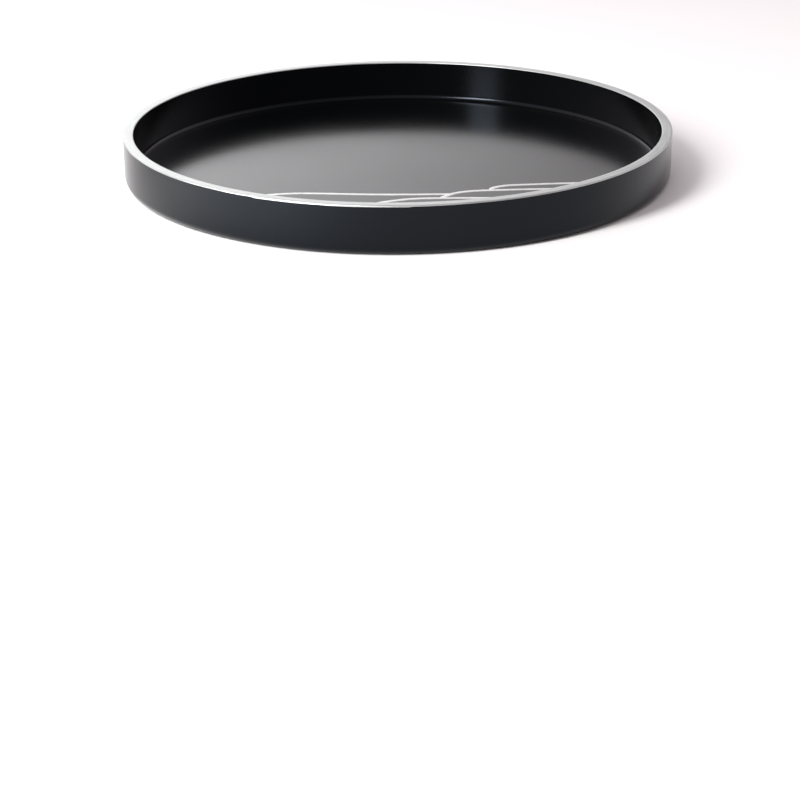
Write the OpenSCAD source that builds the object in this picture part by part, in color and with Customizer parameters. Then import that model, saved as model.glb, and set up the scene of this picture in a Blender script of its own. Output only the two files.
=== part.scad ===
// Round lacquered serving tray with a low upright wall, a silver rim and silver mist lines.
// Built in layers: a thin board let into a hoop of three bentwood strips, a fillet of filler in
// the corner, a coat of black lacquer on every face, and silver laid over the lacquer.
// Origin: centre of the underside. +Z is up, and the mist lines lie towards -Y.

/* [Tray] */
// Diameter over the silver rim
tray_d = 300; // [240:5:360]
// Height from the underside to the top of the silver rim
tray_h = 26; // [20:1:32]

/* [Wood core] */
// Thickness of the base board
board_t = 3; // [1.5:0.5:5]
// Thickness of one bentwood strip
strip_t = 1.6; // [1.2:0.1:2]
// Length of the slanted joint where a strip's two ends meet
scarf_length = 12; // [8:1:20]
// Width of the glue line in that joint
glue_gap = 0.2; // [0.1:0.05:0.4]

/* [Coats] */
// Thickness of the lacquer and its ground
coat_t = 0.3; // [0.3:0.1:0.6]
// Rounding of the foot, where the wall turns under the tray
foot_round = 4.5; // [2:0.5:5]
// Radius of the finished cove between the floor and the wall
cove_r = 2.5; // [1:0.5:5]
// Thickness of the silver coat
silver_t = 0.15; // [0.15:0.05:0.2]
// How far the silver laps down the outer side of the wall
outer_lap = 1; // [0.8:0.1:2]
// How far the silver laps down the inner side of the wall
inner_lap = 0.5; // [0.4:0.1:1]
// Rounding of the rim's outer edge, over the silver
rim_outer_r = 0.8; // [0.5:0.1:0.8]
// Rounding of the rim's inner edge, over the silver
rim_inner_r = 0.4; // [0.3:0.1:0.4]

/* [Mist lines] */
// Full width of a silver line
line_w = 3; // [2:0.25:4]
// Width of a line at its first end, where the brush sets down
line_start_w = 2.2; // [1.5:0.1:4]
// Height of a line above the floor
line_h = 0.15; // [0.1:0.05:0.3]

/* [Hidden] */
$fn = 180;

// Radii of the layers in the wall, from the outside in
rim_r = tray_d / 2;
wall_r = rim_r - silver_t;
core_r = wall_r - coat_t;
core_inner_r = core_r - 3 * strip_t;
well_r = core_inner_r - coat_t;
floor_r = well_r - cove_r;

// Heights of the layers
board_top = coat_t + board_t;
floor_h = board_top + coat_t;
core_top = tray_h - silver_t - coat_t;
lacquer_top = tray_h - silver_t;
cove_z = floor_h + cove_r;

// Where the rounded foot meets the flat underside
foot_r = wall_r - foot_round;

// Places of the strips' end joints, spread round the hoop
scarf_angle = [70, 190, 310];
overshoot = 1;

arc_steps = 8;
curve_steps = 4;

// Centre lines of the mist lines, for a tray this wide. Each runs up out of the front wall, or
// off its neighbour, bends over and then lies nearly level.
drawn_d = 300;
mist_path = [
    [[-104, -104], [-99, -88], [-88, -70.5], [-74, -58.5], [-58, -54.5], [-44, -54.5],
     [-10, -57.5], [28, -58]],
    [[-38.5, -139], [-35, -108], [-27, -87], [-14, -75], [-4, -69.5], [7, -66], [20, -65],
     [50, -65.5], [86, -68.5], [124, -74.5]],
    [[22.5, -65], [25, -61.5], [30, -56.5], [38, -53], [50, -51.5], [80, -50], [136, -48.5]],
    [[49, -51.5], [51, -47], [57, -43.5], [66, -42], [98, -39.5], [140, -38]]
];
// Lines that each mist line stops against: 1 meets 3, 3 sets off from 2, and 4 from 3
mist_neighbours = [[2], [], [1], [2]];

// Points of an arc round centre c, from angle a0 to angle a1
function arc(c, r, a0, a1) =
    [for (i = [0:arc_steps]) let (a = a0 + (a1 - a0) * i / arc_steps) c + r * [cos(a), sin(a)]];

// Point at u, from 0 to 1, on the smooth curve between b and c, with a and d as neighbours
function spline(a, b, c, d, u) =
    0.5 * (2 * b + (c - a) * u + (2 * a - 5 * b + 4 * c - d) * u * u
           + (3 * b - a - 3 * c + d) * u * u * u);

// A smooth curve through the points of path
function smooth(path) = let (last = len(path) - 1) concat(
    [for (i = [0:last - 1], k = [0:curve_steps - 1])
        spline(path[max(i - 1, 0)], path[i], path[i + 1], path[min(i + 2, last)],
               k / curve_steps)],
    [path[last]]);

// One edge of a stroke along curve, to the left of it for side 1 and to the right for side -1.
// The stroke reaches its full width a quarter of the way along.
function stroke_edge(curve, side) = let (last = len(curve) - 1)
    [for (i = [0:last])
        let (ahead = curve[min(i + 1, last)] - curve[max(i - 1, 0)],
             across = [-ahead[1], ahead[0]] / norm(ahead),
             w = line_start_w + (line_w - line_start_w) * min(1, 4 * i / last))
        curve[i] + side * w / 2 * across];

function reversed(list) = [for (i = [len(list) - 1:-1:0]) list[i]];

// The wood core between two radii and two heights, with the foot already rounded off
module core_ring(r_in, r_out, z_low, z_high) {
    rotate_extrude() intersection() {
        polygon(concat([[0, coat_t]],
                       arc([foot_r, foot_round], foot_round - coat_t, 270, 360),
                       [[core_r, core_top], [0, core_top]]));
        translate([r_in, z_low]) square([r_out - r_in, z_high - z_low]);
    }
}

// Slanted glue line through the strip that starts at radius r_in
module scarf_joint(angle, r_in) {
    slant = atan(strip_t / scarf_length);
    rotate([0, 0, angle])
        translate([r_in + strip_t / 2, 0, tray_h / 2])
            rotate([0, 0, slant])
                cube([glue_gap, 2 * scarf_length, tray_h + 2 * overshoot], center = true);
}

module base_board() {
    color("burlywood") core_ring(0, core_r - 2 * strip_t, 0, board_top);
}

// The inner strip stands on the edge of the board
module hoop_inner_strip() {
    color("wheat") difference() {
        core_ring(core_inner_r, core_r - 2 * strip_t, board_top, tray_h);
        scarf_joint(scarf_angle[0], core_inner_r);
    }
}

// The middle strip closes round the edge of the board
module hoop_middle_strip() {
    color("navajowhite") difference() {
        core_ring(core_r - 2 * strip_t, core_r - strip_t, 0, tray_h);
        scarf_joint(scarf_angle[1], core_r - 2 * strip_t);
    }
}

module hoop_outer_strip() {
    color("wheat") difference() {
        core_ring(core_r - strip_t, rim_r, 0, tray_h);
        scarf_joint(scarf_angle[2], core_r - strip_t);
    }
}

module corner_fillet() {
    color("dimgray") rotate_extrude()
        polygon(concat(arc([floor_r, cove_z], cove_r + coat_t, 270, 360),
                       [[core_inner_r, board_top]]));
}

// Floor, cove and inner side of the wall in one coat
module inner_lacquer() {
    color([0.04, 0.04, 0.045]) rotate_extrude()
        polygon(concat([[0, board_top]],
                       arc([floor_r, cove_z], cove_r + coat_t, 270, 360),
                       [[core_inner_r, core_top], [well_r, core_top]],
                       reversed(arc([floor_r, cove_z], cove_r, 270, 360)),
                       [[0, floor_h]]));
}

// Outer side of the wall, from its rounded foot to the top of the rim
module outer_wall_lacquer() {
    under_outer_r = rim_outer_r - silver_t;
    under_inner_r = rim_inner_r - silver_t;
    color([0.06, 0.06, 0.065]) rotate_extrude()
        polygon(concat(arc([foot_r, foot_round], foot_round, 270, 360),
                       arc([wall_r - under_outer_r, lacquer_top - under_outer_r],
                           under_outer_r, 0, 90),
                       arc([well_r + under_inner_r, lacquer_top - under_inner_r],
                           under_inner_r, 90, 180),
                       [[well_r, core_top], [core_r, core_top]],
                       reversed(arc([foot_r, foot_round], foot_round - coat_t, 270, 360))));
}

module underside_lacquer() {
    color([0.05, 0.05, 0.055]) cylinder(r = foot_r, h = coat_t);
}

// A channel of silver over the rim, lapping down both sides of the wall
module rim_silver() {
    silver_inner_r = well_r - silver_t;
    color("silver") rotate_extrude()
        polygon(concat([[wall_r, tray_h - outer_lap], [rim_r, tray_h - outer_lap]],
                       arc([rim_r - rim_outer_r, tray_h - rim_outer_r], rim_outer_r, 0, 90),
                       arc([silver_inner_r + rim_inner_r, tray_h - rim_inner_r],
                           rim_inner_r, 90, 180),
                       [[silver_inner_r, tray_h - inner_lap], [well_r, tray_h - inner_lap]],
                       reversed(arc([well_r + rim_inner_r - silver_t, tray_h - rim_inner_r],
                                    rim_inner_r - silver_t, 90, 180)),
                       reversed(arc([rim_r - rim_outer_r, tray_h - rim_outer_r],
                                    rim_outer_r - silver_t, 0, 90))));
}

module stroke(index) {
    curve = smooth(mist_path[index] * tray_d / drawn_d);
    polygon(concat(stroke_edge(curve, 1), reversed(stroke_edge(curve, -1))));
}

// One raised silver line, ending at the cove and at the lines that it meets
module mist_line(index) {
    color("gainsboro") translate([0, 0, floor_h])
        linear_extrude(height = line_h) difference() {
            intersection() {
                stroke(index);
                circle(r = floor_r);
            }
            for (other = mist_neighbours[index]) stroke(other);
        }
}

base_board();
hoop_inner_strip();
hoop_middle_strip();
hoop_outer_strip();
corner_fillet();
inner_lacquer();
outer_wall_lacquer();
underside_lacquer();
rim_silver();
mist_line(0);  // mist_line_1
mist_line(1);  // mist_line_2
mist_line(2);  // mist_line_3
mist_line(3);  // mist_line_4
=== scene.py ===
"""Looks for the round lacquered tray: the coats of lacquer and silver as fine lathe meshes,
the mist lines as brush strokes, and a material for every piece, in a white studio."""

import math

import bmesh
import bpy
from mathutils import Matrix, Vector, noise


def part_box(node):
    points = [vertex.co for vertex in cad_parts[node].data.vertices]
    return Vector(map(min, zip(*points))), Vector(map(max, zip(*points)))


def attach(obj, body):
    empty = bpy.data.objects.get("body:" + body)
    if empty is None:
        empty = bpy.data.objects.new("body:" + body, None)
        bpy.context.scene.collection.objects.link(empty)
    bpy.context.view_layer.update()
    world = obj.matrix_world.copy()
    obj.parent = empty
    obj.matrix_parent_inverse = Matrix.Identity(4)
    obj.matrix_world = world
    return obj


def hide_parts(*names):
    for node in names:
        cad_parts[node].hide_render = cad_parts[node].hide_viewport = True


MM = 0.001

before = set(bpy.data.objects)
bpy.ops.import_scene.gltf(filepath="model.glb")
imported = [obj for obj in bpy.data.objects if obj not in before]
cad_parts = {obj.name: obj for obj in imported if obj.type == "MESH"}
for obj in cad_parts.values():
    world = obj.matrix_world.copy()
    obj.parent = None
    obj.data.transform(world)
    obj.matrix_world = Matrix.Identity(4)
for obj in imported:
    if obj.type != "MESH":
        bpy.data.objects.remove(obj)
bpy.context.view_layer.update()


# ---------------------------------------------------------------- sizes, read from the frame

def radii(node):
    """Smallest and largest distance of a CAD node's points from the tray's axis."""
    distances = [math.hypot(v.co.x, v.co.y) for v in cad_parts[node].data.vertices]
    return min(distances), max(distances)


rim_low, rim_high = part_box("rim_silver")
RIM_R = min(rim_high.x, rim_high.y, -rim_low.x, -rim_low.y)
TRAY_H = rim_high.z
LAP_OUTER = TRAY_H - rim_low.z
SILVER_INNER_R = radii("rim_silver")[0]
WELL_R, CAD_WALL_R = radii("outer_wall_lacquer")
SILVER_T = WELL_R - SILVER_INNER_R
WALL_R = RIM_R - SILVER_T
LACQUER_TOP = TRAY_H - SILVER_T
CORE_R = radii("hoop_outer_strip")[1] - (CAD_WALL_R - WALL_R)
COAT_T = WALL_R - CORE_R
CORE_TOP = LACQUER_TOP - COAT_T
FLOOR_R = radii("corner_fillet")[0]
COVE_R = WELL_R - FLOOR_R
FLOOR_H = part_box("mist_line_1")[0].z
LINE_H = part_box("mist_line_1")[1].z - FLOOR_H
FOOT_ROUND = CAD_WALL_R - radii("underside_lacquer")[1]
FOOT_R = WALL_R - FOOT_ROUND

# Roundings of the silver, and its lap on the inner side of the wall, as in the CAD model
RIM_OUTER_ROUND = 0.8 * MM
RIM_INNER_ROUND = 0.4 * MM
LAP_INNER = 0.5 * MM


# ---------------------------------------------------------------- mesh helpers

COAT_SEGMENTS = 512
RIM_SEGMENTS = 1080
ON_AXIS = 1e-7


def arc(centre, radius, start, end, steps=10):
    """Points (r, z) of an arc, from angle start to angle end in degrees."""
    points = []
    for i in range(steps + 1):
        a = math.radians(start + (end - start) * i / steps)
        points.append((centre[0] + radius * math.cos(a), centre[1] + radius * math.sin(a)))
    return points


def finish_mesh(name, bm, crease_deg=35):
    """Turns bm into an object with smooth faces and sharp edges where it bends by more."""
    bmesh.ops.recalc_face_normals(bm, faces=bm.faces)
    limit = math.radians(crease_deg)
    for edge in bm.edges:
        edge.smooth = edge.is_manifold and edge.calc_face_angle(0) < limit
    for face in bm.faces:
        face.smooth = True
    mesh = bpy.data.meshes.new(name)
    bm.to_mesh(mesh)
    bm.free()
    obj = bpy.data.objects.new(name, mesh)
    bpy.context.scene.collection.objects.link(obj)
    return obj


def lathe(name, profile, segments=COAT_SEGMENTS, shape=None):
    """A closed profile of (r, z) turned round the axis. shape(angle, index, r, z) may move
    a point, which is how a hand-painted edge wanders."""
    bm = bmesh.new()
    rings = []
    for index, (r, z) in enumerate(profile):
        if r < ON_AXIS:
            rings.append([bm.verts.new((0, 0, z))])
            continue
        ring = []
        for s in range(segments):
            a = 2 * math.pi * s / segments
            ring_r, ring_z = shape(a, index, r, z) if shape else (r, z)
            ring.append(bm.verts.new((ring_r * math.cos(a), ring_r * math.sin(a), ring_z)))
        rings.append(ring)
    for ring, following in zip(rings, rings[1:] + rings[:1]):
        for s in range(segments):
            t = (s + 1) % segments
            if len(ring) == 1 and len(following) == 1:
                break
            if len(ring) == 1:
                bm.faces.new((ring[0], following[s], following[t]))
            elif len(following) == 1:
                bm.faces.new((ring[s], ring[t], following[0]))
            else:
                bm.faces.new((ring[s], ring[t], following[t], following[s]))
    return finish_mesh(name, bm)


def rings_between(r_start, r_end, z, step=12 * MM):
    """Points (r, z) of a flat stretch, step apart, without its two ends."""
    count = max(1, round(abs(r_end - r_start) / step))
    return [(r_start + (r_end - r_start) * i / count, z) for i in range(1, count)]


def smoothstep(value, low, high):
    """0 up to low, 1 from high, and a soft rise between them."""
    t = min(1, max(0, (value - low) / (high - low)))
    return t * t * (3 - 2 * t)


# ---------------------------------------------------------------- node helpers

def new_material(name):
    """A material, its node tree and its Principled shader."""
    material = bpy.data.materials.new(name)
    material.use_nodes = True
    tree = material.node_tree
    return material, tree, tree.nodes["Principled BSDF"]


def add_node(tree, kind, inputs=None, **settings):
    """A node with its settings, and with constants on the inputs named."""
    node = tree.nodes.new(kind)
    for key, value in settings.items():
        setattr(node, key, value)
    for key, value in (inputs or {}).items():
        node.inputs[key].default_value = value
    return node


def math_node(tree, operation, first, second=None):
    """A Math node. first and second are sockets or numbers."""
    node = add_node(tree, "ShaderNodeMath", operation=operation)
    for socket, value in zip(node.inputs, (first, second)):
        if value is None:
            continue
        if isinstance(value, (int, float)):
            socket.default_value = value
        else:
            tree.links.new(value, socket)
    return node.outputs[0]


def noise_node(tree, vector, scale, detail=4.0, rough=0.5):
    """Noise at each place of vector, as a factor."""
    node = add_node(tree, "ShaderNodeTexNoise",
                    {"Scale": scale, "Detail": detail, "Roughness": rough})
    tree.links.new(vector, node.inputs["Vector"])
    return node.outputs["Fac"]


def ramp_node(tree, factor, stops):
    """A colour ramp through stops of (place, (r, g, b))."""
    node = add_node(tree, "ShaderNodeValToRGB")
    elements = node.color_ramp.elements
    while len(elements) < len(stops):
        elements.new(0.5)
    for element, (place, colour) in zip(elements, stops):
        element.position = place
        element.color = (*colour, 1)
    tree.links.new(factor, node.inputs["Fac"])
    return node.outputs["Color"]


def range_node(tree, value, low, high, from_low=0.0, from_high=1.0):
    """value spread from from_low..from_high to low..high."""
    node = add_node(tree, "ShaderNodeMapRange", {"From Min": from_low, "From Max": from_high,
                                                 "To Min": low, "To Max": high})
    tree.links.new(value, node.inputs["Value"])
    return node.outputs["Result"]


def bump_node(tree, height, strength, distance, shader):
    """Fine relief on a shader, distance deep in metres."""
    node = add_node(tree, "ShaderNodeBump", {"Strength": strength, "Distance": distance})
    tree.links.new(height, node.inputs["Height"])
    tree.links.new(node.outputs["Normal"], shader.inputs["Normal"])


def object_vector(tree):
    return add_node(tree, "ShaderNodeTexCoord").outputs["Object"]


def turned_vector(tree, radial, along, upward):
    """Object coordinates as (radius, way round, height), each times its own scale, for grain
    and brush marks that run round the tray."""
    split = add_node(tree, "ShaderNodeSeparateXYZ")
    tree.links.new(object_vector(tree), split.inputs[0])
    x, y, z = split.outputs
    squares = math_node(tree, "ADD", math_node(tree, "MULTIPLY", x, x),
                        math_node(tree, "MULTIPLY", y, y))
    radius = math_node(tree, "SQRT", squares)
    join = add_node(tree, "ShaderNodeCombineXYZ")
    tree.links.new(math_node(tree, "MULTIPLY", radius, radial), join.inputs[0])
    tree.links.new(math_node(tree, "MULTIPLY", math_node(tree, "ARCTAN2", y, x), along),
                   join.inputs[1])
    tree.links.new(math_node(tree, "MULTIPLY", z, upward), join.inputs[2])
    return join.outputs[0]


# ---------------------------------------------------------------- materials

def black_lacquer():
    """Satin black: a faint orange peel, and a sheen that varies a little from place to place."""
    material, tree, shader = new_material("black_lacquer")
    place = object_vector(tree)
    cloud = noise_node(tree, place, 14, 3)
    colour = ramp_node(tree, cloud, [(0.3, (0.0010, 0.0012, 0.0014)),
                                     (0.7, (0.0014, 0.0016, 0.0018))])
    tree.links.new(colour, shader.inputs["Base Color"])
    tree.links.new(range_node(tree, cloud, 0.15, 0.18, from_low=0.3, from_high=0.7),
                   shader.inputs["Roughness"])
    shader.inputs["IOR"].default_value = 1.3
    shader.inputs["Specular Tint"].default_value = (0.68, 0.78, 0.92, 1.0)
    peel = noise_node(tree, place, 420, 2, 0.4)
    bump_node(tree, peel, 0.04, 0.4 * MM, shader)
    return material


def silver_paint(name, dark, light, roughness, streak):
    """Silver powder lacquer with brush marks that run round the tray. Its colour runs from dark
    to light and its roughness over the pair given. streak is the scale of the marks across."""
    material, tree, shader = new_material(name)
    marks = noise_node(tree, turned_vector(tree, streak, 9, streak), 1, 6, 0.65)
    powder = noise_node(tree, object_vector(tree), 2600, 2, 0.6)
    mixed = math_node(tree, "ADD", math_node(tree, "MULTIPLY", marks, 0.75),
                      math_node(tree, "MULTIPLY", powder, 0.25))
    tree.links.new(ramp_node(tree, mixed, [(0.32, dark), (0.66, light)]),
                   shader.inputs["Base Color"])
    tree.links.new(range_node(tree, mixed, *roughness, from_low=0.3, from_high=0.7),
                   shader.inputs["Roughness"])
    shader.inputs["Metallic"].default_value = 1.0
    bump_node(tree, mixed, 0.25, 0.12 * MM, shader)
    return material


def bentwood():
    """Pale strip wood, its grain running round the hoop."""
    material, tree, shader = new_material("bentwood")
    grain = noise_node(tree, turned_vector(tree, 900, 6, 1500), 1, 7, 0.6)
    tree.links.new(ramp_node(tree, grain, [(0.3, (0.42, 0.26, 0.13)), (0.5, (0.62, 0.43, 0.25)),
                                           (0.72, (0.72, 0.55, 0.36))]),
                   shader.inputs["Base Color"])
    tree.links.new(range_node(tree, grain, 0.55, 0.75), shader.inputs["Roughness"])
    bump_node(tree, grain, 0.3, 0.2 * MM, shader)
    return material


def fibreboard():
    """Pressed wood fibre, speckled and matt."""
    material, tree, shader = new_material("fibreboard")
    fibre = noise_node(tree, object_vector(tree), 900, 8, 0.7)
    tree.links.new(ramp_node(tree, fibre, [(0.3, (0.30, 0.19, 0.10)), (0.55, (0.47, 0.33, 0.19)),
                                           (0.75, (0.60, 0.45, 0.29))]),
                   shader.inputs["Base Color"])
    tree.links.new(range_node(tree, fibre, 0.75, 0.9), shader.inputs["Roughness"])
    bump_node(tree, fibre, 0.35, 0.2 * MM, shader)
    return material


def filler():
    """Sanded filler, grey brown and gritty."""
    material, tree, shader = new_material("filler")
    grit = noise_node(tree, object_vector(tree), 1500, 5, 0.6)
    tree.links.new(ramp_node(tree, grit, [(0.35, (0.16, 0.14, 0.12)), (0.65, (0.24, 0.21, 0.18))]),
                   shader.inputs["Base Color"])
    tree.links.new(range_node(tree, grit, 0.7, 0.85), shader.inputs["Roughness"])
    bump_node(tree, grit, 0.3, 0.1 * MM, shader)
    return material


def studio_floor_material():
    """Plain matt white."""
    material, tree, shader = new_material("studio_white")
    soft = noise_node(tree, object_vector(tree), 3, 2)
    tree.links.new(ramp_node(tree, soft, [(0.3, (0.90, 0.90, 0.90)), (0.7, (0.92, 0.92, 0.92))]),
                   shader.inputs["Base Color"])
    shader.inputs["Roughness"].default_value = 0.7
    return material


LACQUER = black_lacquer()
RIM_SILVER = silver_paint("silver_rim", dark=(0.34, 0.36, 0.355), light=(0.66, 0.69, 0.68),
                          roughness=(0.36, 0.50), streak=2600)
LINE_SILVER = silver_paint("silver_line", dark=(0.60, 0.62, 0.61), light=(0.88, 0.90, 0.89),
                           roughness=(0.34, 0.50), streak=1800)


def dress(obj, material, slot, *nodes):
    """Gives a new piece its material and hides the CAD nodes it stands for. slot is not used."""
    obj.data.materials.clear()
    obj.data.materials.append(material)
    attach(obj, "root")
    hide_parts(*nodes)


# ---------------------------------------------------------------- coats of lacquer

def make_inner_coat():
    """Floor, cove and inner side of the wall. A guard ring on each side of the cove keeps the
    shading of the floor and the wall flat."""
    cove_z = FLOOR_H + COVE_R
    board_top = FLOOR_H - COAT_T
    guard = 0.3 * MM
    finished = [(0, FLOOR_H), *rings_between(0, FLOOR_R - guard, FLOOR_H),
                (FLOOR_R - guard, FLOOR_H),
                *arc((FLOOR_R, cove_z), COVE_R, 270, 360, 18),
                (WELL_R, cove_z + guard), (WELL_R, CORE_TOP)]
    hidden = [(WELL_R + COAT_T, CORE_TOP),
              *reversed(arc((FLOOR_R, cove_z), COVE_R + COAT_T, 270, 360, 18)),
              *rings_between(FLOOR_R, 0, board_top), (0, board_top)]
    coat = lathe("lacquer_inside", finished + hidden)
    dress(coat, LACQUER, "black_lacquer", "inner_lacquer")


def make_outer_coat():
    """Outer side of the wall, from its rounded foot over the top of the rim. Guard rings next
    to the roundings keep the wall's shading flat."""
    outer = RIM_OUTER_ROUND - SILVER_T
    inner = RIM_INNER_ROUND - SILVER_T
    foot = (FOOT_R, FOOT_ROUND)
    guard = 0.4 * MM
    profile = [*arc(foot, FOOT_ROUND, 270, 360, 20),
               (WALL_R, FOOT_ROUND + guard), (WALL_R, LACQUER_TOP - outer - guard),
               *arc((WALL_R - outer, LACQUER_TOP - outer), outer, 0, 90, 8),
               *arc((WELL_R + inner, LACQUER_TOP - inner), inner, 90, 180, 5),
               (WELL_R, CORE_TOP), (CORE_R, CORE_TOP),
               *reversed(arc(foot, FOOT_ROUND - COAT_T, 270, 360, 20))]
    coat = lathe("lacquer_outside", profile)
    dress(coat, LACQUER, "black_lacquer", "outer_wall_lacquer")


def make_underside_coat():
    """The flat underside, up to where the foot begins to round."""
    profile = [(0, 0), *rings_between(0, FOOT_R, 0), (FOOT_R, 0),
               (FOOT_R, COAT_T), *rings_between(FOOT_R, 0, COAT_T), (0, COAT_T)]
    coat = lathe("lacquer_underside", profile)
    dress(coat, LACQUER, "black_lacquer", "underside_lacquer")


# ---------------------------------------------------------------- silver on the rim

# The silver's lower border was laid on in strokes: where each begins and ends, in degrees
# round the tray from +X, and how much further down it reaches.
BORDER_STROKES = [(-61, 2, 0.00), (2, 47, 0.12), (47, 96, -0.05), (96, 158, 0.10),
                  (158, 199, -0.06), (199, 241, -0.10), (241, 272, 0.30), (272, 299, 0.04)]
STROKE_BLEND_DEG = 0.7
BORDER_DEPTH = 0.62 * MM
BORDER_WAVE = 0.09 * MM
# How ragged the border is, and how ragged where the brush ran dry, with those places in degrees
RAGGED = 0.03 * MM
RAGGED_DRY = 0.13 * MM
DRY_PATCHES = [(254, 259), (267, 271), (118, 121), (20, 24)]


def border_depth(angle):
    """How far the silver laps down the outer side of the wall at an angle round the tray."""
    deg = math.degrees(angle)
    if deg > BORDER_STROKES[-1][1]:
        deg -= 360
    depth = BORDER_DEPTH
    for start, end, extra in BORDER_STROKES:
        inside = smoothstep(deg, start, start + STROKE_BLEND_DEG)
        inside *= 1 - smoothstep(deg, end, end + STROKE_BLEND_DEG)
        depth += extra * MM * inside
    round_x, round_y = math.cos(angle), math.sin(angle)
    depth += BORDER_WAVE * noise.noise(Vector((round_x * 9, round_y * 9, 1.3)))
    ragged = RAGGED
    for start, end in DRY_PATCHES:
        if start < deg % 360 < end:
            ragged = RAGGED_DRY
    depth += ragged * noise.noise(Vector((round_x * 110, round_y * 110, 7.7)))
    return min(depth, LAP_OUTER)


def make_rim():
    """A channel of silver over the rim whose outer border wanders."""
    under_outer = RIM_OUTER_ROUND - SILVER_T
    under_inner = RIM_INNER_ROUND - SILVER_T
    outer_centre = (RIM_R - RIM_OUTER_ROUND, TRAY_H - RIM_OUTER_ROUND)
    inner_centre = (WELL_R - SILVER_T + RIM_INNER_ROUND, TRAY_H - RIM_INNER_ROUND)
    border = [(WALL_R, TRAY_H - LAP_OUTER), (RIM_R - 0.6 * SILVER_T, TRAY_H - LAP_OUTER),
              (RIM_R - 0.1 * SILVER_T, TRAY_H - LAP_OUTER + 0.6 * SILVER_T)]
    profile = [*border,
               *arc(outer_centre, RIM_OUTER_ROUND, 0, 90, 10),
               *rings_between(outer_centre[0], inner_centre[0], TRAY_H, 1 * MM),
               *arc(inner_centre, RIM_INNER_ROUND, 90, 180, 6),
               (WELL_R - SILVER_T, TRAY_H - LAP_INNER), (WELL_R, TRAY_H - LAP_INNER),
               *reversed(arc(inner_centre, under_inner, 90, 180, 6)),
               *reversed(arc(outer_centre, under_outer, 0, 90, 10))]
    rounding_low = TRAY_H - RIM_OUTER_ROUND

    def wander(angle, index, r, z):
        """Pulls the points below the rounding up or down with the border."""
        low = TRAY_H - border_depth(angle)
        if index < len(border):
            return r, z + low - (TRAY_H - LAP_OUTER)
        if r > WALL_R - 0.5 * under_outer and z < rounding_low + 0.5 * under_outer:
            return r, max(z, low + 0.5 * SILVER_T)
        return r, z

    rim = lathe("rim_silver_coat", profile, RIM_SEGMENTS, wander)
    dress(rim, RIM_SILVER, "silver_rim", "rim_silver")


# ---------------------------------------------------------------- mist lines on the floor

# Centre lines in millimetres, as in the CAD model. Each runs up out of the front wall, or off
# its neighbour, bends over and then lies nearly level.
MIST_PATHS = {
    "mist_line_1": [(-104, -104), (-99, -88), (-88, -70.5), (-74, -58.5), (-58, -54.5),
                    (-44, -54.5), (-10, -57.5), (28, -58)],
    "mist_line_2": [(-38.5, -139), (-35, -108), (-27, -87), (-14, -75), (-4, -69.5), (7, -66),
                    (20, -65), (50, -65.5), (86, -68.5), (124, -74.5)],
    "mist_line_3": [(22.5, -65), (25, -61.5), (30, -56.5), (38, -53), (50, -51.5), (80, -50),
                    (136, -48.5)],
    "mist_line_4": [(49, -51.5), (51, -47), (57, -43.5), (66, -42), (98, -39.5), (140, -38)],
}
LINE_W = 3 * MM
LINE_START_W = 2.2 * MM
# Share of a line over which it widens, and over which one that sets off from another rises
WIDENING = 0.25
RISE = 0.03
CLEAR_OF_COVE = 0.1 * MM
STROKE_RAILS = 9
STROKE_STEPS = 260
HALVINGS = 24


def spline_point(path, place):
    """The point at place on a smooth curve through path, counted in spans."""
    last = len(path) - 1
    i = min(int(place), last - 1)
    u = place - i
    a, b, c, d = (path[max(i - 1, 0)], path[i], path[i + 1], path[min(i + 2, last)])
    return 0.5 * (2 * b + (c - a) * u + (2 * a - 5 * b + 4 * c - d) * u ** 2
                  + (3 * b - a - 3 * c + d) * u ** 3)


def rail_point(path, seed, place, side):
    """The point at place on one rail of a stroke. side runs from -1 to 1 across the stroke,
    whose edges waver slowly and finely."""
    spans = len(path) - 1
    nearby = 0.02
    here = spline_point(path, place)
    ahead = spline_point(path, min(place + nearby, spans))
    behind = spline_point(path, max(place - nearby, 0))
    along = (ahead - behind).normalized()
    full = smoothstep(place / spans, 0, WIDENING)
    width = LINE_START_W + (LINE_W - LINE_START_W) * full
    edge = noise.noise(Vector((here.x, here.y, seed)) / (4 * MM)) * 0.05
    edge += noise.noise(Vector((here.x, here.y, seed + side)) / (0.9 * MM)) * 0.02
    return here + Vector((-along.y, along.x)) * side * width * (0.5 + edge)


def rail_end(path, seed, side, far):
    """The end of a rail: far itself, or the last place on the way there from the middle that
    lies inside the cove, found by halving."""
    def inside(place):
        return rail_point(path, seed, place, side).length <= FLOOR_R - CLEAR_OF_COVE

    if inside(far):
        return far
    good, bad = (len(path) - 1) / 2, far
    for _ in range(HALVINGS):
        half = (good + bad) / 2
        if inside(half):
            good = half
        else:
            bad = half
    return good


def add_rail(bm, path, seed, side):
    """One row of points along a stroke. It is crowned across, with a fine ridge or two from
    the hairs, and it rises gently where it sets off from another line."""
    first = rail_end(path, seed, side, 0)
    last = rail_end(path, seed, side, len(path) - 1)
    crown = 1 - abs(side) ** 3
    rail = []
    for i in range(STROKE_STEPS + 1):
        place = first + (last - first) * i / STROKE_STEPS
        point = rail_point(path, seed, place, side)
        hairs = 0.12 * noise.noise(Vector((side * 9, place * 0.6, seed * 3.1)))
        height = LINE_H * (0.08 + 0.86 * crown * (0.94 + hairs))
        if first == 0:
            height *= 0.15 + 0.85 * smoothstep(i / STROKE_STEPS, 0, RISE)
        rail.append(bm.verts.new((point.x, point.y, FLOOR_H + min(height, LINE_H))))
    return rail


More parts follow.
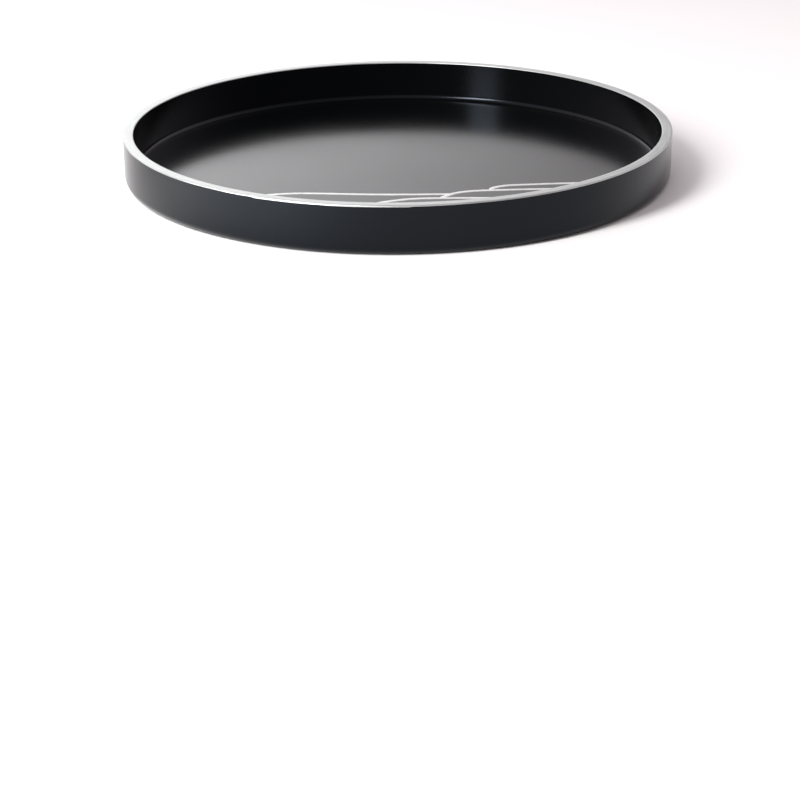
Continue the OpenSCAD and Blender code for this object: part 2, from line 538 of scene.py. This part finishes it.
def make_stroke(name, seed):
    """A raised brush stroke with a flat underside, which ends where it reaches the cove."""
    path = [Vector(p) * MM for p in MIST_PATHS[name]]
    bm = bmesh.new()
    rails = []
    for j in range(STROKE_RAILS):
        side = 2 * j / (STROKE_RAILS - 1) - 1
        rails.append(add_rail(bm, path, seed, side))
    low = []
    for rail in (rails[0], rails[-1]):
        low.append([bm.verts.new((v.co.x, v.co.y, FLOOR_H)) for v in rail])
    rows = [low[0], *rails, low[1]]
    for row, following in zip(rows, rows[1:] + rows[:1]):
        for i in range(STROKE_STEPS):
            bm.faces.new((row[i], row[i + 1], following[i + 1], following[i]))
    bm.faces.new([row[0] for row in rows])
    bm.faces.new([row[-1] for row in rows])
    stroke = finish_mesh(name + "_stroke", bm, crease_deg=60)
    dress(stroke, LINE_SILVER, "silver_line", name)


make_inner_coat()
make_outer_coat()
make_underside_coat()
make_rim()
for number, line in enumerate(MIST_PATHS):
    make_stroke(line, 11.0 + 5 * number)

# The hidden layers keep their CAD meshes.
HIDDEN_LAYERS = {
    "base_board": fibreboard(),
    "corner_fillet": filler(),
}
WOOD = bentwood()
for strip in ("hoop_inner_strip", "hoop_middle_strip", "hoop_outer_strip"):
    HIDDEN_LAYERS[strip] = WOOD
for node_name, layer_material in HIDDEN_LAYERS.items():
    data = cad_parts[node_name].data
    data.materials.clear()
    data.materials.append(layer_material)


# ---------------------------------------------------------------- studio

STUDIO_FLOOR_R = 6
BELOW_TRAY = 0.02 * MM
AIR_COLOUR = (1.0, 0.90, 0.93)
AIR_LEVEL = 0.38
# Soft lights in the air, as colour, level, direction and sharpness: a white wall behind the
# tray, a little to the left, a paler one on each side of it, and a broad glow high on the left
GLOWS = [((1.0, 1.0, 1.0), 2.85, (-0.25, 0.935, 0.29), 23),
         ((1.0, 0.93, 0.96), 0.75, (0.80, 0.45, 0.33), 6),
         ((1.0, 0.93, 0.96), 0.75, (-0.85, 0.42, 0.32), 6),
         ((1.0, 0.92, 0.95), 0.65, (-0.80, -0.35, 0.50), 2)]


def make_studio_floor():
    """A wide white disc, a hair below the tray so that their faces don't meet."""
    bm = bmesh.new()
    bmesh.ops.create_circle(bm, cap_ends=True, segments=96, radius=STUDIO_FLOOR_R)
    floor = finish_mesh("studio_floor", bm)
    floor.location.z = -BELOW_TRAY
    floor.data.materials.append(studio_floor_material())


def lobe(tree, direction, target, sharpness):
    """Light that is 1 towards target and falls off round it, faster the sharper it is."""
    facing = add_node(tree, "ShaderNodeVectorMath", operation="DOT_PRODUCT")
    facing.inputs[1].default_value = Vector(target).normalized()
    tree.links.new(direction, facing.inputs[0])
    towards = math_node(tree, "MAXIMUM", facing.outputs["Value"], 0)
    return math_node(tree, "POWER", towards, sharpness)


def make_world():
    """Dim air with the glows added to it one after another."""
    world = bpy.data.worlds.new("studio_air")
    bpy.context.scene.world = world
    world.use_nodes = True
    tree = world.node_tree
    direction = add_node(tree, "ShaderNodeTexCoord").outputs["Generated"]
    air = tree.nodes["Background"]
    air.inputs["Color"].default_value = (*AIR_COLOUR, 1)
    air.inputs["Strength"].default_value = AIR_LEVEL
    total = air.outputs[0]
    for colour, level, target, sharpness in GLOWS:
        glow = add_node(tree, "ShaderNodeBackground", {"Color": (*colour, 1)})
        strength = math_node(tree, "MULTIPLY", lobe(tree, direction, target, sharpness), level)
        tree.links.new(strength, glow.inputs["Strength"])
        both = add_node(tree, "ShaderNodeAddShader")
        tree.links.new(total, both.inputs[0])
        tree.links.new(glow.outputs[0], both.inputs[1])
        total = both.outputs[0]
    tree.links.new(total, tree.nodes["World Output"].inputs["Surface"])


def hang_light(light, place, target):
    """Puts a light at place, facing target."""
    obj = bpy.data.objects.new(light.name, light)
    bpy.context.scene.collection.objects.link(obj)
    obj.location = place
    obj.rotation_euler = (Vector(target) - Vector(place)).to_track_quat("-Z", "Y").to_euler()


def add_softbox():
    """A tall soft box in front of the tray, high on the left."""
    light = bpy.data.lights.new("softbox", "AREA")
    light.shape = "RECTANGLE"
    light.size = 0.28
    light.size_y = 0.80
    light.energy = 19.5
    light.color = (1.0, 1.0, 0.99)
    hang_light(light, (-0.68, -0.73, 0.70), (0, 0, 0))


def add_left_pool():
    """A round pool of light with a soft edge, on the white floor to the front left of the tray."""
    light = bpy.data.lights.new("left_pool", "SPOT")
    light.spot_size = math.radians(28)
    light.spot_blend = 0.7
    light.shadow_soft_size = 0.04
    light.energy = 42
    hang_light(light, (-0.50, -0.12, 0.60), (-0.23, -0.20, 0))


make_studio_floor()
make_world()
add_softbox()
add_left_pool()


# ---------------------------------------------------------------- camera

CAMERA_DISTANCE = 8 * RIM_R
CAMERA_ELEVATION = math.radians(16.24)
CAMERA_PITCH = math.radians(22.37)
CAMERA_ROLL = math.radians(-0.53)
CAMERA_LENS_MM = 97.0
# How far the camera stands above the place given by its distance and elevation
CAMERA_LIFT = 1 * MM


def make_camera():
    """A camera in front of the tray that looks down a little more steeply than at its centre,
    so the tray stands high in the picture."""
    data = bpy.data.cameras.new("camera")
    data.lens = CAMERA_LENS_MM
    data.clip_start = 0.01
    camera = bpy.data.objects.new("camera", data)
    bpy.context.scene.collection.objects.link(camera)
    place = Vector((0, -math.cos(CAMERA_ELEVATION), math.sin(CAMERA_ELEVATION))) * CAMERA_DISTANCE
    place.z += CAMERA_LIFT
    tilt = Matrix.Rotation(math.pi / 2 - CAMERA_PITCH, 4, "X")
    roll = Matrix.Rotation(CAMERA_ROLL, 4, "Z")
    camera.matrix_world = Matrix.Translation(place) @ tilt @ roll
    bpy.context.scene.camera = camera


make_camera()
bpy.context.scene.view_settings.view_transform = "Standard"
